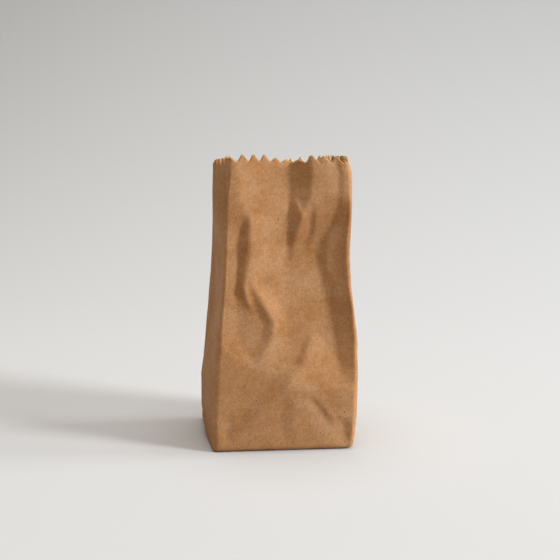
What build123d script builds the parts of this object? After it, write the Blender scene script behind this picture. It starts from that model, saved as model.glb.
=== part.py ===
from build123d import *
import math
import os

# A stoneware vase in the form of a crumpled, block-bottomed paper bag.
# Millimetres, +Z up, front towards -Y.  The origin is on the base, under the middle of the
# whole vase's width and depth.
#
# The form is worked out on a flat sheet first.  A place on the sheet has a panel
# (front, right, back or left), a distance u along the panel from its middle, and a
# height z.  The sheet is wrapped into a rounded box and the folds push it in or out.

# ---- driving dimensions -------------------------------------------------------------
height = 220.0            # foot to the highest tooth tips
base_width = 108.0        # across the front at the foot
top_width = 90.0          # across the front under the rim
base_depth = 85.0         # front to back at the foot
top_depth = 76.0          # front to back under the rim
belly = 2.0               # how far the front and back swell halfway up
corner_radius = 4.5       # upright corners at foot and rim
splay = 6.0               # how far the left side leans out towards the back
foot_radius = 4.0         # rounding where the walls meet the base
wall = 3.8                # fired clay, measured square to the panel
floor = 5.0               # clay under the hollow
glaze = 0.4               # glaze lining the hollow
fold_depth = 1.0          # scales every fold; 1 gives the depths listed below
fold_round = 2.0          # half the width over which a crease is rounded
tooth_height = 5.6        # pinked teeth round the rim
tooth_pitch = 8.8
tooth_flat = 1.3          # width of the blunt tip on a tooth of full height
foot_recess = 1.0         # hollow under the base
foot_band = 6.0           # flat ring the vase stands on

# share of the way up, then how much of the flare from top width to base width the left and
# the right side have there
flare = [(0, 1, 0.87), (0.045, 0.96, 1.05), (0.11, 0.96, 1.16), (0.27, 0.78, 1.11), (0.39, 0.56, 1),
         (0.5, 0.33, 0.62), (0.57, 0.18, 0.39), (0.68, 0.06, 0.29), (0.84, 0.04, 0.33),
         (0.945, 0, 0.29), (0.98, 0.07, 0), (1, 0.17, -0.11)]
# share of the way up, and the share of the corner radius there
corner_rows = [(0, 1), (0.27, 1), (0.5, 0.67), (0.77, 0.67), (1, 1)]
least_radius = 1.2        # a corner never gets sharper than this, however far inside

# ---- how the sheet is wrapped and cut ---------------------------------------------------
columns = 116             # points round each section
section_step = 3.6        # height between sections
corner_ease = 10.0        # folds start to swing round a corner this far before it
through = 3.0             # cutters stand this far clear of the wall
spare = 3.0               # and this far above the rim

# ---- nominal sheet the folds and teeth are drawn on --------------------------------------
sheet_width = 100.0
sheet_depth = 85.0
sheet_corner = 8.0
sheet_top = 220.0
half_front = sheet_width / 2 - sheet_corner
half_side = sheet_depth / 2 - sheet_corner
arc = math.pi * sheet_corner / 2
girth = 4 * (half_front + half_side + arc)
middle = {
    "front": 0.0,
    "right": half_front + arc + half_side,
    "back": girth / 2,
    "left": -(half_front + arc + half_side),
}

# tooth tips along the front: distance from the middle, and how far below the rim's height
front_teeth = [(-42.1, 2), (-32.3, 0), (-24.3, 0), (-16.3, 0), (-8, 2.2), (0.1, 3.3),
               (9.4, 3.3), (19, 0), (28, 0.3), (38, 0.7), (45, 3.3)]
# how far the whole rim sinks, by distance round the sheet
sag_rows = [(148, 0), (158, 1.5), (166, 2.5), (173, 6.5), (250, 6.5), (265, 4), (300, 2), (312, 0)]

# ---- folds ------------------------------------------------------------------------------
# Each fold runs down a panel through rows of (z, u, depth, reach to the left, reach to the
# right).  A positive depth is pushed in, a negative one stands out.
over = sheet_top + 5
folds = [
    # the deep dent down the middle of the front, and a sliver standing in its steep side
    ("front", [(over, 2, 8.5, 40, 16), (200, 3, 8.8, 40, 14.5), (188, 3.4, 8, 38, 12), (181, 3.4, 6.6, 35, 8.6),
               (173, 3, 5, 32, 6.2), (160, 2.4, 3.4, 28, 3.4), (148, 2, 1.2, 22, 2.2), (140, 2, 0, 20, 2.2)]),
    ("front", [(193, 4.5, 0, 2, 2), (187, 6, -1.8, 3.5, 3), (178, 8.5, -2, 4, 3), (172, 10, 0, 3, 2)]),
    ("front", [(180, 2, 0, 28, 40), (155, 2, 3, 28, 44), (125, 2, 3, 26, 45), (110, 2, 2, 14, 44),
               (97, 2, 1.2, 12, 40), (80, 2, 1, 12, 38), (60, 2, 0, 18, 30)]),
    # short crease below the dent, and a narrow one beside the right corner
    ("front", [(187, 17, 0, 5, 3), (178, 17.4, 1.6, 6, 2.6), (170, 17.4, 2, 7, 2.6), (162, 16, 1.6, 7, 3),
               (154, 13.5, 0.8, 6, 4), (144, 11, 0, 5, 5)]),
    ("front", [(over, 37.4, 1, 7, 2.2), (200, 36.6, 1.2, 8, 2), (186, 36, 0.8, 7, 2.2), (180, 35.6, 0, 6, 2.5)]),
    # the broad hollow that climbs to the right corner
    ("front", [(190, 37, 0, 14, 9), (181, 35, 4, 20, 11), (172, 31, 6, 28, 15), (162, 27, 8, 42, 19),
               (155, 23.5, 9.2, 52, 22.5), (145, 22, 9.8, 60, 24), (121, 27, 9, 66, 19), (108, 30, 8, 66, 16),
               (80, 31.6, 6, 62, 14.5), (62, 34, 2.5, 50, 12), (48, 38, 0, 30, 8)]),
    # the upright step beside the left corner, and its foot curling inwards
    ("front", [(178, -27, 0, 3, 20), (170, -26.8, -2.2, 4, 24), (160, -27, -3, 6, 26), (145, -27.5, -3.2, 6.5, 26),
               (132, -29, -2.8, 5, 24), (122, -30.5, -1.8, 3.5, 14), (112, -31.5, 0, 3, 10)]),
    ("front", [(178, -31, 0, 8, 4), (169, -32, 1.4, 10, 4.5), (160, -34.2, 1.8, 10, 4), (126, -34.6, 2, 10, 3),
               (112, -34.6, 1.8, 10, 8), (104, -34, 2.4, 11, 18), (92, -32.6, 2.7, 12, 20), (82, -29.6, 2.5, 14, 16),
               (74, -25, 1.8, 14, 10), (66, -20, 0, 12, 5)]),
    # a small ridge, then the curved one round the middle of the left half
    ("front", [(130, -32, 0, 3, 3), (124, -30, -1.6, 3, 4), (112, -26, -1.6, 3, 5), (106, -24, 0, 3, 4)]),
    ("front", [(131, -27, 0, 3, 6), (122, -22, -2.2, 5, 10), (113, -17, -2.8, 6, 12), (106, -12.4, -3.2, 6.5, 12),
               (98, -8.6, -3.2, 6.5, 11), (90, -8.6, -3.2, 7, 11), (82, -11, -2.8, 7, 12), (75, -15.5, -1.8, 7, 12),
               (68, -20, 0, 6, 8)]),
    # the long slanting ridge across the lower half
    ("front", [(91, 17, 0, 2, 3), (84, 15.5, -1.8, 2.6, 8), (76, 13, -2.8, 3.4, 14), (67, 10.6, -3.6, 6, 22),
               (60, 6, -4.6, 12, 32), (48, -0.5, -5, 13, 44), (39, -10, -4.4, 11, 50), (30, -19, -3, 8, 44),
               (22, -25.5, -1.2, 4, 24), (17, -29, 0, 3, 12)]),
    # small creases near the foot
    ("front", [(43, 14, 0, 3, 3), (39, 18, 1.2, 8, 2), (31, 23.4, 1.5, 9, 2), (24, 26.4, 1.2, 9, 2), (18, 28, 0, 8, 2)]),
    ("front", [(26, 36, 0, 8, 4), (19, 38.6, 2.4, 16, 4), (11, 39.6, 2.4, 16, 4), (3, 41, 0, 10, 3)]),
    ("front", [(34, -34, 0, 4, 4), (26, -36, 1.2, 7, 5), (14, -36, 1.2, 7, 5), (5, -36, 0, 5, 3)]),
    ("front", [(52, -2, 0, 10, 6), (40, -2, 1.2, 14, 7), (14, -1, 1.2, 14, 7), (4, 0, 0, 10, 6)]),
    # the top of the left corner
    ("front", [(over, -47, 3, 10, 7.5), (205, -48, 2.4, 10, 6), (188, -50, 1.4, 10, 4), (172, -52, 0, 8, 4)]),
    # left side: a crease near the front corner, a swelling low down, a dent towards the back
    ("left", [(over, 26, 2, 14, 10), (190, 27, 3.5, 14, 8), (160, 28, 3.5, 16, 8),
              (130, 30, 2, 18, 7), (90, 32, 0, 16, 6)]),
    ("left", [(110, 0, 0, 30, 30), (75, 0, -3.6, 36, 36), (50, 0, -6, 38, 38),
              (25, 0, -4.4, 36, 36), (10, 4, -2.2, 34, 30), (0, 6, -1, 30, 26), (-6, 6, 0, 30, 26)]),
    ("left", [(over, 0, -2, 36, 30), (190, 0, -4, 36, 30), (160, 0, -2, 30, 30),
              (140, 0, -1, 30, 30), (115, 0, 0, 30, 30)]),
    ("left", [(150, -22, 0, 8, 8), (120, -14, 3, 14, 10), (92, -4, 3.4, 16, 8), (64, -12, 2.4, 12, 12), (40, -24, 0, 8, 8)]),
    # right side
    ("right", [(over, -4, -3, 30, 38), (190, -2, -4, 34, 36), (160, 0, -4, 36, 36),
               (130, 0, -3, 36, 36), (90, 0, -4, 36, 36), (50, 0, -6, 38, 38),
               (20, 0, -3, 36, 36), (6, 0, 0, 30, 30)]),
    ("right", [(178, -46, 0, 8, 8), (160, -46, 4, 12, 14), (145, -46, 4.5, 14, 16),
               (130, -46, 3, 12, 12), (110, -46, 0, 8, 8)]),
    ("right", [(over, 6, 6, 20, 14), (190, 5, 6, 20, 12), (165, 2, 3.4, 18, 6), (140, -2, 0, 12, 4)]),
    ("right", [(150, 20, 0, 4, 8), (130, 14, -3, 8, 14), (100, 2, -3.6, 9, 16), (74, -12, -2.6, 8, 14), (58, -20, 0, 4, 8)]),
    ("right", [(86, 24, 0, 8, 6), (60, 18, 3, 16, 7), (34, 22, 2.4, 14, 7), (14, 26, 0, 8, 5)]),
    # back
    ("back", [(over, -8, 7, 30, 20), (180, -6, 7.5, 30, 17), (150, -2, 4.6, 26, 9), (122, 2, 0, 18, 5)]),
    ("back", [(146, 28, 0, 12, 10), (104, 20, 5, 30, 16), (70, 8, 4.6, 24, 14), (36, -8, 0, 12, 8)]),
    ("back", [(168, -34, 0, 6, 10), (140, -30, 2.8, 9, 7), (104, -31, 3, 10, 7), (78, -26, 0, 8, 5)]),
    ("back", [(80, -24, 0, 3, 6), (58, -12, -3, 8, 14), (36, 6, -3.4, 9, 18), (20, 18, 0, 4, 8)]),
]


# ---- the form -----------------------------------------------------------------------------
def bend(x, radius):
    """A ramp that leaves zero smoothly over twice the radius."""
    if x <= -radius:
        return 0.0
    if x >= radius:
        return x
    return (x + radius) ** 2 / (4 * radius)


def table(x, places, values):
    """Straight lines through rising places, held level beyond both ends."""
    if x <= places[0]:
        return values[0]
    for a, b, p, q in zip(places, places[1:], values, values[1:]):
        if x <= b:
            return p + (q - p) * (x - a) / (b - a)
    return values[-1]


def column(rows, x, number):
    """One column of a list of rows at x, straight between rows."""
    return table(x, [row[0] for row in rows], [row[number] for row in rows])


def fold_push(s, z, panel, rows):
    """How far one fold pushes in at a place on the sheet."""
    rows = sorted(rows)
    if z <= rows[0][0] or z >= rows[-1][0]:
        return 0.0
    u, depth, left, right = [column(rows, z, i) for i in (1, 2, 3, 4)]
    across = (s - middle[panel] - u + girth / 2) % girth - girth / 2
    crest = (1 / left + 1 / right) * bend(across, fold_round)
    sides = bend(across + left, fold_round) / left + bend(across - right, fold_round) / right
    return depth * (sides - crest)


def outline(s, z, inset=0.0):
    """Point and outward direction on the smooth bag, a given distance inside its face."""
    share = min(max(z / height, 0), 1)
    s = (s + girth / 2) % girth - girth / 2
    side = 1 if s >= 0 else -1
    spread = column(flare, share, 2 if side > 0 else 1)
    half_w = (top_width + (base_width - top_width) * spread) / 2 - inset
    half_d = (base_depth + (top_depth - base_depth) * share) / 2 + belly * math.sin(math.pi * share) - inset
    radius = max(corner_radius * column(corner_rows, share, 1) - inset, least_radius)
    a = abs(s)
    first_turn = min(max(a - half_front, 0), arc)
    second_turn = min(max(a - half_front - arc - 2 * half_side, 0), arc)
    turn = (first_turn + second_turn) / sheet_corner
    nx, ny = math.sin(turn), -math.cos(turn)
    across = min(min(a, girth / 2 - a) / half_front, 1)
    along = min(max((a - half_front - arc - half_side) / half_side, -1), 1)
    x = across * (half_w - radius) + radius * nx
    y = along * (half_d - radius) + radius * ny
    if side < 0:
        x += splay * x / half_w * (y / half_d + 1) / 2
    return side * x, y, side * nx, ny


def push_direction(s):
    """Outward direction a fold works along.  It swings round each corner over a wider
    stretch than the corner itself, so deep folds never cross there."""
    s = (s + girth / 2) % girth - girth / 2
    swing = arc + 2 * corner_ease
    a = abs(s)
    if a < girth / 4:
        turn = min(max((a - half_front + corner_ease) / swing, 0), 1)
    else:
        turn = 2 - min(max((girth / 2 - a - half_front + corner_ease) / swing, 0), 1)
    angle = turn * math.pi / 2
    return math.copysign(math.sin(angle), s), -math.cos(angle)


def fold_total(s, z):
    """How far all the folds together push in at a place on the sheet."""
    return fold_depth * sum(fold_push(s, z * sheet_top / height, *fold) for fold in folds)


def place(s, z, inset, foot=0.0, rounding=0.0):
    """Point on the folded bag, a given distance inside its outer face.

    Foot is the height of the flat below, rounding the radius that leads into it.
    """
    rise = z - foot
    if rise < rounding:
        inset += rounding - math.sqrt(rounding ** 2 - (rounding - rise) ** 2)
    x, y = outline(s, z, inset)[:2]
    px, py = push_direction(s)
    push = fold_total(s, z)
    return Vector(x - px * push, y - py * push, z)


def skin(inset, foot, rounding, top):
    """Solid filled to the folded sheet at a given inset, between two heights."""
    heights = [foot + rounding * (1 - math.cos(math.radians(a))) for a in (0, 25, 50, 72)]
    span = top - foot - rounding
    count = round(span / section_step)
    heights += [foot + rounding + span * i / count for i in range(count + 1)]
    knots = [i / columns for i in range(columns + 1)]
    sections = []
    for z in heights:
        ring = [place(girth * i / columns, z, inset, foot, rounding) for i in range(columns)]
        sections.append(Wire([Edge.make_spline(ring, periodic=True, parameters=knots)]))
    return Solid.make_loft(sections)


# ---- rim ------------------------------------------------------------------------------------
def sag(s):
    """How far the whole rim sinks at a place on the sheet."""
    return column(sag_rows, s % girth, 1)


def tooth_tips():
    """Every tip round the rim in order: place on the sheet, and drop below the rim's height."""
    first = front_teeth[0][0] + girth
    last = front_teeth[-1][0]
    gaps = round((first - last) / tooth_pitch)
    rest = [(last + (first - last) * i / gaps, 0) for i in range(1, gaps)]
    return [(s, drop + sag(s)) for s, drop in front_teeth + rest]


def through_wall(s, profile):
    """Prism cut square through the wall at sheet distance s.

    The profile is a list of (distance along the rim, height).
    """
    nx, ny = outline(s, height)[2:]
    ends = []
    for inset in (-through, wall + glaze + through):
        start = place(s, height, inset)
        corners = [Vector(start.X - ny * a, start.Y + nx * a, z) for a, z in profile]
        ends.append(Wire.make_polygon(corners))
    return Solid.make_loft(ends, ruled=True)


def notch(left, right):
    """Wedge between two neighbouring tooth tips, each given as (place, drop)."""
    valley = (left[0] + right[0]) / 2
    depth = tooth_height + sag(valley)
    reach = []
    for drop in (left[1], right[1]):
        half = (right[0] - left[0] - (0 if drop > 0 else tooth_flat)) / 2
        reach.append(half * (depth + spare) / (depth - drop))
    top = height + spare
    return through_wall(valley, [(-reach[0], top), (0, height - depth), (reach[1], top)])


def rim_cuts():
    """Every gap between two teeth."""
    tips = tooth_tips()
    following = tips[1:] + [(tips[0][0] + girth, tips[0][1])]
    return [notch(a, b) for a, b in zip(tips, following)]


# ---- sub-parts --------------------------------------------------------------------------------
def inner_rounding(inset):
    """Rounding between a wall and the floor, a little less further inside."""
    return foot_radius + 2.2 - inset


def recess():
    """Shallow hollow under the base that leaves a flat ring to stand on."""
    inset = 2 * (foot_radius + foot_band)
    plan = RectangleRounded(base_width - inset, base_depth - inset, corner_radius)
    return extrude(plan, amount=foot_recess)


def stoneware_body(outer, hollow, cuts):
    """Fired clay: the outer form less its hollow, the recess and the gaps between teeth."""
    return outer.cut(hollow, *recess().solids()).cut(*cuts)


def interior_glaze(hollow, cuts):
    """Glaze layer that lies face to face on the inside of the clay, up to the teeth."""
    inset = wall + glaze
    inside = skin(inset, floor + glaze, inner_rounding(inset), height)
    return hollow.cut(inside).cut(*cuts)


outer = skin(0, 0, foot_radius, height)
hollow = skin(wall, floor, inner_rounding(wall), height)
cuts = rim_cuts()
nodes = {
    "stoneware_body": stoneware_body(outer, hollow, cuts),
    "interior_glaze": interior_glaze(hollow, cuts),
}

centre = outer.bounding_box().center()
to_centre = Location((-centre.X, -centre.Y, 0))

os.makedirs("parts", exist_ok=True)
for name, shape in nodes.items():
    export_step(shape.moved(to_centre), f"parts/{name}.step")
    print(name, "volume", round(shape.volume), "faces", len(shape.faces()))
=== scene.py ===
# %% [markdown]
# # A stoneware vase in the shape of a crumpled paper bag
# The real vase is slip cast: liquid clay is poured into a mould taken from a crumpled bag,
# left to thicken against the plaster, drained, dried, and fired.  The outside stays bare,
# so it is a sandy brown with dark iron specks, and the inside is glazed cream.
# This lesson builds it in two pieces, the clay and the glaze, on top of a measured model.

# %% Load the measured model
import math
import bmesh
import bpy
import numpy as np
from mathutils import Matrix, Vector, noise


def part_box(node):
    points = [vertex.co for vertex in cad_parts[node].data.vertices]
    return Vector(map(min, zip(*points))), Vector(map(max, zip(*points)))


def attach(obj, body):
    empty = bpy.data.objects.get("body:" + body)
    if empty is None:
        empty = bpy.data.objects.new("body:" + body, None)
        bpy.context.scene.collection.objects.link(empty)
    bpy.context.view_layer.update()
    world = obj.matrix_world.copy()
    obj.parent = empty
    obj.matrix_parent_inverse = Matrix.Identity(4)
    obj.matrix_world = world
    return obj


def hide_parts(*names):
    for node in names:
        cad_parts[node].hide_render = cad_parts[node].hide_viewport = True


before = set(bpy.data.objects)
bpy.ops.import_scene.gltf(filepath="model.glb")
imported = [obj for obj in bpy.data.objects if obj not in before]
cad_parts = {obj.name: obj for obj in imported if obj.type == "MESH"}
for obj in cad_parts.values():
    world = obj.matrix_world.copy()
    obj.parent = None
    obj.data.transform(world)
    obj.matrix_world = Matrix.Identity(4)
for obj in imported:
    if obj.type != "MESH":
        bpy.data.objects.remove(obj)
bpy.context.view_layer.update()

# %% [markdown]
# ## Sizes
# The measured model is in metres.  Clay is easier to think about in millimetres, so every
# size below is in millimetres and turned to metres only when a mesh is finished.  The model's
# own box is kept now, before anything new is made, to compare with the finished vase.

MM = 0.001
body_low, body_high = [np.array(corner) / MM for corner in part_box("stoneware_body")]
height = float(body_high[2] - body_low[2])
floor_top = float(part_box("interior_glaze")[0][2]) / MM
print("model is", np.round(body_high - body_low, 1), "mm")
print("clay floor is", round(floor_top, 1), "mm thick")

# %% [markdown]
# ## The bag before it is crumpled
# A paper bag is one sheet wrapped round a box.  A point on that sheet has a distance `s` round
# the bag, with 0 at the middle of the front and growing to the right, and a height `z`.
# `outline` wraps the sheet into a rounded box that is wider at the foot than at the rim, with
# its left side leaning out towards the back.
# It could be a cube with bevelled edges, but then a fold could not run down a panel and round
# a corner by its distance along the sheet.

# %% Wrap the sheet
# half of a front and of a side panel, and the radius that the corners take up on the sheet
half_front, half_side, sheet_corner = 42.0, 34.5, 8.0
arc = math.pi * sheet_corner / 2
girth = 4 * (half_front + half_side + arc)
middle = {
    "front": 0.0,
    "right": half_front + arc + half_side,
    "back": girth / 2,
    "left": -(half_front + arc + half_side),
}
# height, then how far the left and the right side stand from the middle
sides = [(0, 54, 52.8), (10, 53.6, 54.4), (25, 53.6, 55.4), (60, 52, 55), (85, 50, 54),
         (110, 48, 50.6), (125, 46.6, 48.5), (150, 45.5, 47.6), (185, 45.4, 48),
         (208, 45, 47.6), (216, 45.6, 45), (220, 46.5, 44)]
# height, then the radius of the upright corners, which are never tighter than the least
corners = [(0, 4.5), (60, 4.5), (110, 3), (170, 3), (220, 4.5)]
least_radius = 1.2
# half the depth at the foot, how much of it is lost by the rim, and how far the middle swells
half_depth, narrowing, belly = 42.5, 4.5, 2.0
# how much further left the left side stands at the back than at the front
splay = 6.0


def wrap_around(s):
    """The same place on the sheet, measured the short way from the middle of the front."""
    return (s + girth / 2) % girth - girth / 2


def level(z, rows, column):
    """Value of one column of a list of rows at height z, straight between rows."""
    return np.interp(z, [row[0] for row in rows], [row[column] for row in rows])


def outline(s, z, inset=0.0):
    """Point on the uncrumpled bag, a given distance inside its face."""
    s = wrap_around(s)
    side, a = np.where(s < 0, -1.0, 1.0), np.abs(s)
    wide = np.where(s < 0, level(z, sides, 1), level(z, sides, 2)) - inset
    deep = half_depth - narrowing * z / height
    deep = deep + belly * np.sin(math.pi * np.clip(z / height, 0, 1)) - inset
    radius = np.maximum(level(z, corners, 1) - inset, least_radius)
    turn = np.clip(a - half_front, 0, arc) + np.clip(a - half_front - arc - 2 * half_side, 0, arc)
    nx, ny = np.sin(turn / sheet_corner), -np.cos(turn / sheet_corner)
    x = np.where(a > girth / 4, girth / 2 - a, a)
    x = np.clip(x / half_front, 0, 1) * (wide - radius) + radius * nx
    along_side = (a - half_front - arc - half_side) / half_side
    y = np.clip(along_side, -1, 1) * (deep - radius) + radius * ny
    lean = np.where(s < 0, splay * x / wide * (y / deep + 1) / 2, 0)
    return side * (x + lean), y


print("sheet is", round(girth), "mm round")

# %% [markdown]
# ## The folds
# Crumpled paper is flat facets that meet in creases.  Each fold here is a tent laid along a
# path: the rows give height, distance from the middle of the panel, depth, and how far the
# fold reaches to its left and right.  A positive depth is pushed in.  Sculpting by hand would
# work too, but a list can be corrected one crease at a time.

# %% List the folds
# a fold whose first height is `over` runs out through the rim
over = 226
folds = [
    # the deep dent down the middle of the front, and a sliver standing in its steep side
    ("front", [(over, 2, 8.5, 40, 16), (200, 3, 8.8, 40, 14.5), (188, 3.4, 8, 38, 12),
               (181, 3.4, 6.6, 35, 8.6), (173, 3, 5, 32, 6.2), (160, 2.4, 3.4, 28, 3.4),
               (148, 2, 1.2, 22, 2.2), (140, 2, 0, 20, 2.2)]),
    ("front", [(193, 4.5, 0, 2, 2), (187, 6, -1.8, 3.5, 3), (178, 8.5, -2, 4, 3),
               (172, 10, 0, 3, 2)]),
    ("front", [(180, 2, 0, 28, 40), (155, 2, 3, 28, 44), (125, 2, 3, 26, 45), (110, 2, 2, 14, 44),
               (97, 2, 1.2, 12, 40), (80, 2, 1, 12, 38), (60, 2, 0, 18, 30)]),
    # short crease below the dent, and a narrow one beside the right corner
    ("front", [(187, 17, 0, 5, 3), (178, 17.4, 1.6, 6, 2.6), (170, 17.4, 2, 7, 2.6),
               (162, 16, 1.6, 7, 3), (154, 13.5, 0.8, 6, 4), (144, 11, 0, 5, 5)]),
    ("front", [(over, 37.4, 1, 7, 2.2), (200, 36.6, 1.2, 8, 2), (186, 36, 0.8, 7, 2.2),
               (180, 35.6, 0, 6, 2.5)]),
    # the broad hollow that climbs to the right corner
    ("front", [(190, 37, 0, 14, 9), (181, 35, 4, 20, 11), (172, 31, 6, 28, 15),
               (162, 27, 8, 42, 19), (155, 23.5, 9.2, 52, 22.5), (145, 22, 9.8, 60, 24),
               (121, 27, 9, 66, 19), (108, 30, 8, 66, 16), (80, 31.6, 6, 62, 14.5),
               (62, 34, 2.5, 50, 12), (48, 38, 0, 30, 8)]),
    # the upright step beside the left corner, and its foot curling inwards
    ("front", [(178, -27, 0, 3, 20), (170, -26.8, -2.2, 4, 24), (160, -27, -3, 6, 26),
               (145, -27.5, -3.2, 6.5, 26), (132, -29, -2.8, 5, 24), (122, -30.5, -1.8, 3.5, 14),
               (112, -31.5, 0, 3, 10)]),
    ("front", [(178, -31, 0, 8, 4), (169, -32, 1.4, 10, 4.5), (160, -34.2, 1.8, 10, 4),
               (126, -34.6, 2, 10, 3), (112, -34.6, 1.8, 10, 8), (104, -34, 2.4, 11, 18),
               (92, -32.6, 2.7, 12, 20), (82, -29.6, 2.5, 14, 16), (74, -25, 1.8, 14, 10),
               (66, -20, 0, 12, 5)]),
    # a small ridge, then the curved one round the middle of the left half
    ("front", [(130, -32, 0, 3, 3), (124, -30, -1.6, 3, 4), (112, -26, -1.6, 3, 5),
               (106, -24, 0, 3, 4)]),
    ("front", [(131, -27, 0, 3, 6), (122, -22, -2.2, 5, 10), (113, -17, -2.8, 6, 12),
               (106, -12.4, -3.2, 6.5, 12), (98, -8.6, -3.2, 6.5, 11), (90, -8.6, -3.2, 7, 11),
               (82, -11, -2.8, 7, 12), (75, -15.5, -1.8, 7, 12), (68, -20, 0, 6, 8)]),
    # the long slanting ridge across the lower half
    ("front", [(91, 17, 0, 2, 3), (84, 15.5, -1.8, 2.6, 8), (76, 13, -2.8, 3.4, 14),
               (67, 10.6, -3.6, 6, 22), (60, 6, -4.6, 12, 32), (48, -0.5, -5, 13, 44),
               (39, -10, -4.4, 11, 50), (30, -19, -3, 8, 44), (22, -25.5, -1.2, 4, 24),
               (17, -29, 0, 3, 12)]),
    # small creases near the foot
    ("front", [(43, 14, 0, 3, 3), (39, 18, 1.2, 8, 2), (31, 23.4, 1.5, 9, 2),
               (24, 26.4, 1.2, 9, 2), (18, 28, 0, 8, 2)]),
    ("front", [(26, 36, 0, 8, 4), (19, 38.6, 2.4, 16, 4), (11, 39.6, 2.4, 16, 4),
               (3, 41, 0, 10, 3)]),
    ("front", [(34, -34, 0, 4, 4), (26, -36, 1.2, 7, 5), (14, -36, 1.2, 7, 5),
               (5, -36, 0, 5, 3)]),
    ("front", [(52, -2, 0, 10, 6), (40, -2, 1.2, 14, 7), (14, -1, 1.2, 14, 7), (4, 0, 0, 10, 6)]),
    # the top of the left corner
    ("front", [(over, -47, 3, 10, 7.5), (205, -48, 2.4, 10, 6), (188, -50, 1.4, 10, 4),
               (172, -52, 0, 8, 4)]),
    # left side: a crease near the front corner, a swelling low down, a dent towards the back
    ("left", [(over, 26, 2, 14, 10), (190, 27, 3.5, 14, 8), (160, 28, 3.5, 16, 8),
              (130, 30, 2, 18, 7), (90, 32, 0, 16, 6)]),
    ("left", [(110, 0, 0, 30, 30), (75, 0, -3.6, 36, 36), (50, 0, -6, 38, 38),
              (25, 0, -4.4, 36, 36), (10, 4, -2.2, 34, 30), (0, 6, -1, 30, 26),
              (-6, 6, 0, 30, 26)]),
    ("left", [(over, 0, -2, 36, 30), (190, 0, -4, 36, 30), (160, 0, -2, 30, 30),
              (140, 0, -1, 30, 30), (115, 0, 0, 30, 30)]),
    ("left", [(150, -22, 0, 8, 8), (120, -14, 3, 14, 10), (92, -4, 3.4, 16, 8),
              (64, -12, 2.4, 12, 12), (40, -24, 0, 8, 8)]),
    # right side
    ("right", [(over, -4, -3, 30, 38), (190, -2, -4, 34, 36), (160, 0, -4, 36, 36),
               (130, 0, -3, 36, 36), (90, 0, -4, 36, 36), (50, 0, -6, 38, 38),
               (20, 0, -3, 36, 36), (6, 0, 0, 30, 30)]),
    ("right", [(178, -46, 0, 8, 8), (160, -46, 4, 12, 14), (145, -46, 4.5, 14, 16),
               (130, -46, 3, 12, 12), (110, -46, 0, 8, 8)]),
    ("right", [(over, 6, 6, 20, 14), (190, 5, 6, 20, 12), (165, 2, 3.4, 18, 6),
               (140, -2, 0, 12, 4)]),
    ("right", [(150, 20, 0, 4, 8), (130, 14, -3, 8, 14), (100, 2, -3.6, 9, 16),
               (74, -12, -2.6, 8, 14), (58, -20, 0, 4, 8)]),
    ("right", [(86, 24, 0, 8, 6), (60, 18, 3, 16, 7), (34, 22, 2.4, 14, 7), (14, 26, 0, 8, 5)]),
    # back
    ("back", [(over, -8, 7, 30, 20), (180, -6, 7.5, 30, 17), (150, -2, 4.6, 26, 9),
              (122, 2, 0, 18, 5)]),
    ("back", [(146, 28, 0, 12, 10), (104, 20, 5, 30, 16), (70, 8, 4.6, 24, 14),
              (36, -8, 0, 12, 8)]),
    ("back", [(168, -34, 0, 6, 10), (140, -30, 2.8, 9, 7), (104, -31, 3, 10, 7),
              (78, -26, 0, 8, 5)]),
    ("back", [(80, -24, 0, 3, 6), (58, -12, -3, 8, 14), (36, 6, -3.4, 9, 18), (20, 18, 0, 4, 8)]),
]
print(len(folds), "folds")

# %% [markdown]
# ## Pushing the folds in
# `bend` is a ramp with its corner rounded off, and three of them make a tent with soft
# creases, as slip leaves them.  Near a corner the folds must not push straight along the
# surface, or the inside of the corner would cross itself, so their direction swings round
# slowly.  A little smooth noise at the end keeps the facets from looking machined.

# %% Push the sheet
# half the width of a rounded crease, and how far before a corner the push starts to turn
crease_round = 1.7
corner_ease = 10.0


def bend(x):
    """A ramp that leaves zero smoothly."""
    rounded = (x + crease_round) ** 2 / (4 * crease_round)
    return np.where(np.abs(x) < crease_round, rounded, np.maximum(x, 0))


def fold_push(s, z, panel, rows):
    """How far one fold pushes in."""
    rows = sorted(rows)
    u, depth, left, right = [level(z, rows, column) for column in (1, 2, 3, 4)]
    across = wrap_around(s - middle[panel] - u)
    tent = bend(across + left) / left + bend(across - right) / right
    tent = tent - (1 / left + 1 / right) * bend(across)
    return np.where((z > rows[0][0]) & (z < rows[-1][0]), depth * tent, 0)


def push_direction(s):
    """Outward direction a fold works along."""
    s = wrap_around(s)
    a, swing = np.abs(s), arc + 2 * corner_ease
    near = np.clip((a - half_front + corner_ease) / swing, 0, 1)
    far = 2 - np.clip((girth / 2 - a - half_front + corner_ease) / swing, 0, 1)
    angle = np.where(a < girth / 4, near, far) * math.pi / 2
    return np.copysign(np.sin(angle), s), -np.cos(angle)


def place(s, z, inset):
    """Point on the folded bag, a given distance inside its outer face."""
    x, y = outline(s, z, inset)
    px, py = push_direction(s)
    push = sum(fold_push(s, z, panel, rows) for panel, rows in folds)
    return x - px * push, y - py * push


probe = place(np.array([0.0]), np.array([203.0]), 0.0)
print("the dent brings the front of the rim to y =", round(float(probe[1][0]), 1))
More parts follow.
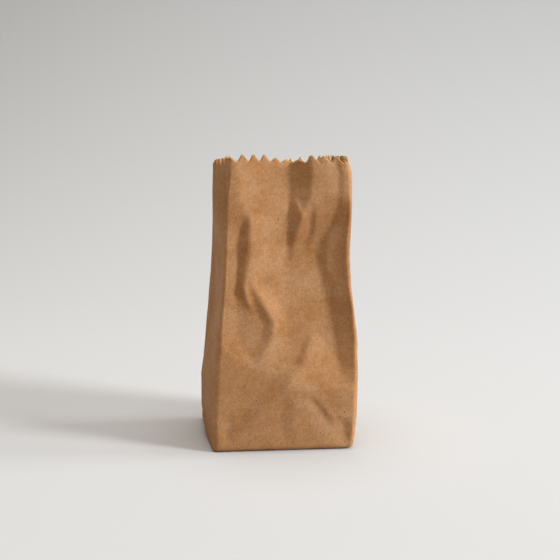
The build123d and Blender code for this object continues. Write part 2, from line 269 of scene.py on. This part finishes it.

# %% [markdown]
# ## The pinked rim
# The rim is cut in zigzag teeth like a paper bag's.  Each tooth on the front is listed, with
# how far its tip sits below the rim, because the dent pulls a few of them down.
# The rest are spaced evenly along a rim that sags towards the back left.  The zigzag is
# averaged over a short distance, which rounds the tips and valleys as the clay and firing do.

# %% Draw the line of the teeth
tooth_height, tooth_pitch, tooth_flat = 5.6, 8.8, 1.3
front_teeth = [(-42.1, 2), (-32.3, 0), (-24.3, 0), (-16.3, 0), (-8, 2.2), (0.1, 3.3),
               (9.4, 3.3), (19, 0), (28, 0.3), (38, 0.7), (45, 3.3)]
stretch = front_teeth[0][0] + girth - front_teeth[-1][0]
gaps = round(stretch / tooth_pitch)
# distance round the sheet, then how far the rim sinks
sag_rows = [(148, 0), (158, 1.5), (166, 2.5), (173, 6.5), (250, 6.5), (265, 4), (300, 2),
            (312, 0)]


def sag(s):
    """How far the whole rim sinks at a place on the sheet."""
    return float(np.interp(s % girth, *zip(*sag_rows)))


teeth = front_teeth + [(front_teeth[-1][0] + stretch * i / gaps, 0) for i in range(1, gaps)]
teeth = [(s, drop + sag(s)) for s, drop in teeth]
following = teeth[1:] + [(teeth[0][0] + girth, teeth[0][1])]
zigzag = []
for (tip, drop), (next_tip, _) in zip(teeth, following):
    valley = (tip + next_tip) / 2
    zigzag += [(tip - tooth_flat / 2, height - drop), (tip + tooth_flat / 2, height - drop)]
    zigzag += [(valley, height - tooth_height - sag(valley))]
zigzag += [(s + girth, z) for s, z in zigzag[:3]]


def rim(s, rounding=0.8):
    """Height of the rim, its tips and valleys rounded off."""
    start = zigzag[0][0] + 0.3
    s = start + (s - start) % girth
    near = [np.interp(s + shift, *zip(*zigzag)) for shift in np.linspace(-rounding, rounding, 9)]
    return np.mean(near, axis=0)


# shares of the way from one tip to the next, closer together at the tip
steps = [0, 0.06, 0.14, 0.25, 0.37, 0.5, 0.63, 0.75, 0.86, 0.94]
columns = [a[0] + (b[0] - a[0]) * step for a, b in zip(teeth, following) for step in steps]
columns = np.array(columns)
print(len(teeth), "teeth,", len(columns), "columns of faces round the vase")

# %% [markdown]
# ## The clay wall
# One grid runs up the outside, over the rounded lip and down the inside to the floor.  The
# grid operator gives the faces, and every vertex is then moved to its place on the sheet,
# which is what a sculptor's grab does by hand.  Making the wall from one grid, and not from
# a surface with a thickness modifier, lets the lip be rounded and keeps the teeth crisp.

# %% Rows of the clay wall
wall = 3.8
lip_radius = 0.95
foot_radius, inner_radius = 4.0, 2.4
outer_count, inner_count = 142, 40
# height just under the valleys of the teeth, where the rows stop being level
tooth_foot = 211.5 - np.array([sag(s) for s in columns])


def lip(count, radius, start, end):
    """Quarter round in (inset, drop) steps between two angles in degrees."""
    angles = [math.radians(start + (end - start) * i / (count - 1)) for i in range(count)]
    return [(radius - radius * math.cos(a), radius - radius * math.sin(a)) for a in angles]


def over_the_lip(drop):
    """Height of the lip, a given drop below its crest; deeper where a tooth's flank is steep."""
    reach, extra = 0.4, 0.45
    steep = np.abs(rim(columns + reach) - rim(columns - reach)) / (2 * reach)
    return rim(columns) - drop * (1 + extra * steep)


def flat_row(z):
    """The same height all the way round."""
    return np.full(len(columns), float(z))


outer_rows = [(flat_row(foot_radius * (1 - math.cos(a))), foot_radius * (1 - math.sin(a)))
              for a in np.radians([0, 15, 30, 45, 60, 75, 90])]
outer_rows += [(z, 0) for z in np.linspace(flat_row(foot_radius + 1.5), tooth_foot, outer_count)]
start = over_the_lip(lip_radius)
outer_rows += [(tooth_foot + (start - tooth_foot) * share, 0)
               for share in (0.17, 0.34, 0.5, 0.67, 0.84)]
lip_rows = [(over_the_lip(drop), inset) for inset, drop in lip(5, lip_radius, 0, 90)]
lip_rows += [(over_the_lip(0), wall / 2)]
lip_rows += [(over_the_lip(drop), wall - inset) for inset, drop in lip(5, lip_radius, 90, 0)]
inner_rows = [(tooth_foot + (start - tooth_foot) * share, wall) for share in (0.75, 0.5, 0.25)]
inner_foot = flat_row(floor_top + inner_radius + 1.5)
inner_rows += [(z, wall) for z in np.linspace(tooth_foot, inner_foot, inner_count)]
inner_rows += [(flat_row(floor_top + inner_radius * (1 - math.cos(a))),
                wall + inner_radius * (1 - math.sin(a))) for a in np.radians([90, 60, 30, 0])]
wall_rows = outer_rows + lip_rows + inner_rows
print(len(wall_rows), "rows up, over and down")

# %% Shape a grid into a wall
drift = Vector(((body_low[0] + body_high[0]) / 2, (body_low[1] + body_high[1]) / 2, 0))
here = [place(columns, flat_row(z), 0) for z in np.linspace(4, 215, 90)]
spread = [np.concatenate([axis.ravel() for axis in group]) for group in zip(*here)]
form_middle = [(group.min() + group.max()) / 2 for group in spread]
form_size = [group.max() - group.min() for group in spread]
print("form", np.round(form_size, 2), "model", np.round((body_high - body_low)[:2], 2), "mm")


def hand_made(x, y, z):
    """Slow waves of a few tenths of a millimetre, as a mould and hands leave."""
    spot = Vector((x, y, z))
    return 0.35 * noise.noise(spot * 0.035) + 0.12 * noise.noise(spot * 0.11)


def wall_from_rows(rows):
    """A closed band of faces through rows of (height, inset), the seam welded."""
    calm_foot, mean_reach = 30, 55
    bm = bmesh.new()
    across, up = len(columns), len(rows) - 1
    bmesh.ops.create_grid(bm, x_segments=across, y_segments=up, size=0.5)
    s = np.append(columns, columns[0])
    ring = [place(columns, z, inset) for z, inset in rows]
    for vert in bm.verts:
        i = round((vert.co.x + 0.5) * across) % across
        j = round((vert.co.y + 0.5) * up)
        x, y = ring[j][0][i] - form_middle[0], ring[j][1][i] - form_middle[1]
        z = rows[j][0][i]
        swell = 1 + hand_made(x, y, z) * min(z / calm_foot, 1) / mean_reach
        vert.co = (x * swell, y * swell, z)
    bmesh.ops.remove_doubles(bm, verts=bm.verts, dist=0.0005)
    return bm


clay = wall_from_rows(wall_rows)
open_edges = [e for e in clay.edges if e.is_boundary]
print(len(clay.faces), "faces in the clay wall,", len(open_edges), "open edges")

# %% [markdown]
# ## The base and the floor
# The open edges left are the foot outside and the floor inside.  The foot ring is drawn in
# by extruding the edge and scaling it, then stepped up into a shallow hollow, as a potter
# trims a base so that it stands on a ring.  Each last loop is filled with one flat face.

# %% Close the base and the floor
def open_loop(bm, low, high):
    """Boundary edges between two heights."""
    return [e for e in bm.edges if e.is_boundary and low < e.verts[0].co.z < high]


def draw_in(bm, edges, move, lift=0.0):
    """Extrude a loop, pull it towards the middle by a distance, and lift it."""
    made = bmesh.ops.extrude_edge_only(bm, edges=edges)["geom"]
    verts = [g for g in made if isinstance(g, bmesh.types.BMVert)]
    reach_x = max(abs(v.co.x) for v in verts)
    reach_y = max(abs(v.co.y) for v in verts)
    shrink = Matrix.Diagonal(((reach_x - move) / reach_x, (reach_y - move) / reach_y, 1, 1))
    bmesh.ops.transform(bm, matrix=Matrix.Translation((0, 0, lift)) @ shrink, verts=verts)
    ring = set(verts)
    return [e for e in bm.edges if e.is_boundary and e.verts[0] in ring and e.verts[1] in ring]


foot_band, foot_recess, first_rise = 6.0, 1.0, 0.35
loop = open_loop(clay, -1, 2)
loop = draw_in(clay, loop, foot_band)
for move, lift in ((0.4, first_rise), (0.6, foot_recess - first_rise), (1.5, 0)):
    loop = draw_in(clay, loop, move, lift)
bmesh.ops.contextual_create(clay, geom=loop)
inner_loop = open_loop(clay, floor_top - 1, floor_top + 1)
inner_loop = draw_in(clay, inner_loop, 1.5)
bmesh.ops.contextual_create(clay, geom=inner_loop)
bmesh.ops.recalc_face_normals(clay, faces=clay.faces)
print("open edges left:", len([e for e in clay.edges if not e.is_manifold]))

# %% Finish the clay as an object
def finish_piece(bm, name, node):
    """Turn a bmesh in millimetres into a finished object that stands for a node."""
    to_metres = Matrix.Diagonal((MM, MM, MM, 1)) @ Matrix.Translation(drift)
    bmesh.ops.transform(bm, matrix=to_metres, verts=bm.verts)
    for face in bm.faces:
        face.smooth = True
    mesh = bpy.data.meshes.new(name)
    bm.to_mesh(mesh)
    bm.free()
    piece = bpy.data.objects.new(name, mesh)
    bpy.context.scene.collection.objects.link(piece)
    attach(piece, "root")
    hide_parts(node)
    print(name, "has", sum(len(p.vertices) - 2 for p in mesh.polygons), "triangles")
    return piece


clay_piece = finish_piece(clay, "clay_body", "stoneware_body")

# %% [markdown]
# ## The glaze inside
# Glaze is poured in, swilled round and poured out, so it coats the whole inside and laps over
# the inner half of the lip in a thick, slightly uneven edge.  It is its own closed shell: its
# rows climb from the floor up the inside, run over the lip to that edge, and go back down
# hidden inside the clay.  The two open loops left at the floor are filled.

# %% Pour the glaze
# thickness over the clay, and how deep the hidden side lies in the clay
glaze, buried = 0.4, 0.35
around = columns / girth * 2 * math.pi
wander = np.array([noise.noise(Vector((math.cos(a), math.sin(a), 0.3)) * 6.0) for a in around])
edge = wall * 0.64 + 0.5 * wander


def thickened(rows, amount):
    """Inner wall rows moved towards the hollow, or into the clay if the amount is negative."""
    floor_level = floor_top + inner_radius
    return [(z + amount * (z.max() < floor_level), inset + amount) for z, inset in rows]


glaze_rows = thickened(inner_rows[::-1], glaze)
# over the lip it stands this much proud of the clay, ends in a rounded bead, and turns under
proud = 0.25
glaze_rows += [(over_the_lip(drop - proud), wall - inset + glaze * drop / lip_radius)
               for inset, drop in lip(5, lip_radius, 0, 90)]
glaze_rows += [(over_the_lip(-0.24), edge + 0.5), (over_the_lip(-0.1), edge + 0.12),
               (over_the_lip(0.3), edge), (over_the_lip(1.1), np.full(len(columns), wall - buried))]
glaze_rows += thickened(inner_rows, -buried)
skin = wall_from_rows(glaze_rows)
for low, high in ((floor_top + 0.2, floor_top + 1), (floor_top - 1, floor_top + 0.2)):
    loop = draw_in(skin, open_loop(skin, low, high), 1.5)
    bmesh.ops.contextual_create(skin, geom=loop)
bmesh.ops.recalc_face_normals(skin, faces=skin.faces)
print("open edges left:", len([e for e in skin.edges if not e.is_manifold]))
glaze_piece = finish_piece(skin, "glaze_lining", "interior_glaze")

# %% [markdown]
# ## Shader maths
# A finish is a graph of nodes.  `Wire` wraps one socket so that sums on patterns can be
# written as sums, and its `node` method adds any other node with its settings and inputs.

# %% A wire that does sums
class Wire:
    """A value on its way through a material."""

    def __init__(self, tree, socket=None):
        self.tree = tree
        self.socket = socket

    def node(self, kind, settings=None, sockets=None, out=0):
        made = self.tree.nodes.new("ShaderNode" + kind)
        for name, value in (settings or {}).items():
            setattr(made, name, value)
        for name, value in (sockets or {}).items():
            if isinstance(value, Wire):
                self.tree.links.new(value.socket, made.inputs[name])
            else:
                made.inputs[name].default_value = value
        return Wire(self.tree, made.outputs[out])

    def maths(self, operation, first, second=0.0):
        return self.node("Math", {"operation": operation}, {0: first, 1: second})

    def __add__(self, other):
        return self.maths("ADD", self, other)

    def __radd__(self, other):
        return self.maths("ADD", other, self)

    def __sub__(self, other):
        return self.maths("SUBTRACT", self, other)

    def __rsub__(self, other):
        return self.maths("SUBTRACT", other, self)

    def __mul__(self, other):
        return self.maths("MULTIPLY", self, other)

    def __rmul__(self, other):
        return self.maths("MULTIPLY", other, self)

    def between(self, low, high):
        """0 below low, 1 above high, straight between."""
        return self.node("MapRange", {}, {"Value": self, "From Min": low, "From Max": high})

    def tint(self, first, second):
        """First colour where this is 0, second where it is 1; sockets 6 and 7 take colours."""
        colours = {"Factor": self, 6: first, 7: second}
        return self.node("Mix", {"data_type": "RGBA"}, colours, out=2)


def new_finish(name):
    """An empty material: its start wire and its surface shader."""
    material = bpy.data.materials.new(name)
    material.use_nodes = True
    shader = material.node_tree.nodes["Principled BSDF"]
    return material, Wire(material.node_tree), shader


def feed(shader, **wires):
    """Link wires to the shader's sockets; underscores in a name stand for spaces."""
    for name, wire in wires.items():
        socket = shader.inputs[name.replace("_", " ")]
        shader.id_data.links.new(wire.socket, socket)


print("shader maths ready")

# %% [markdown]
# ## Bare stoneware
# Fired without glaze, stoneware is matte and sandy.  Its colour works at several scales: slow
# patches and rusty washes from the kiln, a mottle of sand, clustered iron freckles, and a few
# larger specks.  Specks are best made from a Voronoi pattern: each cell has a random colour,
# so a threshold on that colour chooses which few cells carry a dot.  The same sand feeds a
# small bump.

# %% Stoneware finish
stoneware, wire, stoneware_shader = new_finish("speckled_stoneware")
where = wire.node("TexCoord", out="Object")


def cloud(scale, detail=3.0, rough=0.55):
    """Soft noise with values mostly from 0.3 to 0.7; scale is patches per metre."""
    sockets = {"Vector": where, "Scale": scale, "Detail": detail, "Roughness": rough}
    return wire.node("TexNoise", {}, sockets)


def dots(scale, radius, share):
    """Dots in some of the cells: radius in cell widths, share of cells that have one."""
    sockets = {"Vector": where, "Scale": scale, "Randomness": 1.0}
    away = wire.node("TexVoronoi", {}, sockets)
    cell_colour = wire.node("TexVoronoi", {}, sockets, out="Color")
    lottery = wire.node("SeparateColor", {}, {"Color": cell_colour})
    chosen = lottery.between(1 - share, 1 - share + 0.02)
    size = radius * (0.55 + 0.45 * lottery.between(1 - share, 1))
    return chosen * (size * 1.25 - away).between(0, 0.25 * radius)


def washed(colour, wash):
    """One colour multiplied by another."""
    sockets = {"Factor": 1.0, 6: colour, 7: wash}
    return wire.node("Mix", {"data_type": "RGBA", "blend_type": "MULTIPLY"}, sockets, out=2)


grain = cloud(900, 4, 0.7).between(0.33, 0.67)
mottle = cloud(330, 3, 0.6).between(0.36, 0.64)
patches = cloud(26, 3, 0.5).between(0.35, 0.65)
rust = cloud(48, 4, 0.62).between(0.48, 0.66)
clusters = 0.35 + 0.9 * cloud(85, 2, 0.5).between(0.42, 0.62)
freckles = dots(800, 0.34, 0.14) * clusters
specks = dots(330, 0.17, 0.045)
colour = patches.tint((0.405, 0.188, 0.069, 1), (0.482, 0.252, 0.115, 1))
colour = washed(colour, rust.tint((1.03, 1.04, 1.08, 1), (0.93, 0.85, 0.71, 1)))
colour = washed(colour, mottle.tint((0.93, 0.915, 0.88, 1), (1.07, 1.08, 1.11, 1)))
colour = washed(colour, grain.tint((0.82, 0.80, 0.76, 1), (1.15, 1.16, 1.19, 1)))
colour = (freckles * 0.5).tint(colour, (0.15, 0.07, 0.03, 1))
colour = (specks * 0.85).tint(colour, (0.05, 0.025, 0.015, 1))
sand = {"Height": grain - freckles * 0.5, "Strength": 0.35, "Distance": 0.0002}
relief = wire.node("Bump", {}, sand)
feed(stoneware_shader, Base_Color=colour, Normal=relief, Roughness=0.78 + 0.12 * grain)
stoneware_shader.inputs["Specular IOR Level"].default_value = 0.3
clay_piece.data.materials.append(stoneware)
print(len(stoneware.node_tree.nodes), "nodes in the stoneware")

# %% [markdown]
# ## Cream glaze
# The glaze is thin and glassy.  Iron from the clay bleeds through it in places, so the cream
# turns towards amber in soft patches, and faint specks show.  It runs thin over the teeth and
# lets their brown through.

# %% Glaze finish
glazed, wire, glaze_shader = new_finish("cream_glaze")
where = wire.node("TexCoord", out="Object")
bleed = cloud(60, 3, 0.55).between(0.38, 0.66)
cream = bleed.tint((0.72, 0.58, 0.31, 1), (0.56, 0.38, 0.15, 1))
thin = wire.node("SeparateXYZ", {}, {"Vector": where}, out="Z").between(0.204, 0.217)
cream = (thin * 0.75).tint(cream, (0.36, 0.21, 0.09, 1))
spots = dots(260, 0.2, 0.10)
cream = (spots * 0.5).tint(cream, (0.22, 0.12, 0.05, 1))
flow = {"Height": cloud(140, 2, 0.5), "Strength": 0.25, "Distance": 0.0004}
ripple = wire.node("Bump", {}, flow)
feed(glaze_shader, Base_Color=cream, Normal=ripple, Roughness=0.32 + 0.12 * bleed + 0.2 * thin)
glaze_shader.inputs["Coat Weight"].default_value = 0.2
glaze_shader.inputs["Coat Roughness"].default_value = 0.2
glaze_piece.data.materials.append(glazed)
print(len(glazed.node_tree.nodes), "nodes in the glaze")

# %% [markdown]
# ## Camera
# The vase is seen from a little to its left and slightly above, from about three times its
# height away.  A moderately long lens keeps the uprights nearly parallel.

# %% Set the camera
turn, tilt, roll = math.radians(-6.8), math.radians(8.65), math.radians(0.75)
distance, eye = 0.647, 0.222
away = Vector((-math.sin(turn), math.cos(turn), 0))
across = Vector((math.cos(turn), math.sin(turn), 0))
form_centre = Vector((-form_middle[0], -form_middle[1], 0)) * MM
camera = bpy.data.objects.new("camera", bpy.data.cameras.new("camera"))
bpy.context.scene.collection.objects.link(camera)
camera.location = form_centre - away * distance + Vector((0, 0, eye))
facing = Matrix.Rotation(turn, 3, "Z") @ Matrix.Rotation(math.pi / 2 - tilt, 3, "X")
facing = facing @ Matrix.Rotation(roll, 3, "Z")
camera.rotation_euler = facing.to_euler()
camera.data.sensor_width = 36
camera.data.lens = 54
camera.data.clip_start = 0.01
bpy.context.scene.camera = camera
print("camera at", [round(v, 3) for v in camera.location])

# %% [markdown]
# ## Table and backdrop
# A sheet of pale paper lies on the table and curves up behind, so there is no horizon line.
# It is an edge extruded along its profile.

# %% Sweep of paper
sweep = bmesh.new()
reach, half_width, curve_start, curve = 6.0, 6.0, 0.5, 2.2
profile = [(-reach, 0.0)]
profile += [(curve_start + curve * math.sin(a), curve - curve * math.cos(a))
            for a in np.linspace(0, math.pi / 2, 25)]
profile += [(curve_start + curve, 4.0)]
front_edge = [sweep.verts.new(away * -reach + across * side) for side in (-half_width, half_width)]
edges = [sweep.edges.new(front_edge)]
for (back, up), (next_back, next_up) in zip(profile, profile[1:]):
    made = bmesh.ops.extrude_edge_only(sweep, edges=edges)["geom"]
    verts = [g for g in made if isinstance(g, bmesh.types.BMVert)]
    step = away * (next_back - back) + Vector((0, 0, next_up - up))
    bmesh.ops.translate(sweep, vec=step, verts=verts)
    edges = [e for e in made if isinstance(e, bmesh.types.BMEdge)]
    edges = [e for e in edges if all(v in verts for v in e.verts)]
bmesh.ops.recalc_face_normals(sweep, faces=sweep.faces)
for face in sweep.faces:
    face.smooth = True
paper_mesh = bpy.data.meshes.new("paper_sweep")
sweep.to_mesh(paper_mesh)
sweep.free()
paper_sweep = bpy.data.objects.new("paper_sweep", paper_mesh)
bpy.context.scene.collection.objects.link(paper_sweep)
paper, wire, paper_shader = new_finish("pale_paper")
paper_shader.inputs["Base Color"].default_value = (0.51, 0.508, 0.511, 1)
paper_shader.inputs["Roughness"].default_value = 0.9
paper_shader.inputs["Specular IOR Level"].default_value = 0.1
paper_mesh.materials.append(paper)
print("sweep has", len(paper_mesh.polygons), "faces")

# %% [markdown]
# ## Light
# Two soft lamps stand at the vase's right, one a little towards the camera and one a little
# behind, so each crease that faces left falls into shade and two shadows fan out to the left.
# A wide lamp overhead and a warm pale world fill the shade.

# %% Hang the lamps
def lamp(name, bearing, climb, reach, size, power, colour):
    """Soft round lamp aimed at the vase; bearing is degrees right of the camera."""
    bearing, climb = math.radians(bearing), math.radians(climb)
    aim = (across * math.sin(bearing) - away * math.cos(bearing)) * math.cos(climb)
    aim += Vector((0, 0, math.sin(climb)))
    aim_height = 0.1
    light = bpy.data.lights.new(name, "AREA")
    light.shape, light.size, light.spread = "DISK", size, math.radians(120)
    light.energy, light.color = power, colour
    holder = bpy.data.objects.new(name, light)
    bpy.context.scene.collection.objects.link(holder)
    holder.location = aim * reach + Vector((0, 0, aim_height))
    holder.rotation_euler = aim.to_track_quat("Z", "Y").to_euler()


lamp("front_lamp", 72, 27, 5.0, 1.2, 101, (0.9, 0.965, 1.0))
lamp("back_lamp", 98, 27, 5.0, 1.2, 44, (0.9, 0.965, 1.0))
lamp("top_lamp", 0, 90, 3.0, 2.4, 36, (1.0, 0.96, 0.91))
world = bpy.data.worlds.new("pale_room")
world.use_nodes = True
world.node_tree.nodes["Background"].inputs[0].default_value = (1.0, 0.865, 0.71, 1)
world.node_tree.nodes["Background"].inputs[1].default_value = 0.23
bpy.context.scene.world = world
bpy.context.scene.view_settings.view_transform = "Standard"
print("three lamps and a pale world")
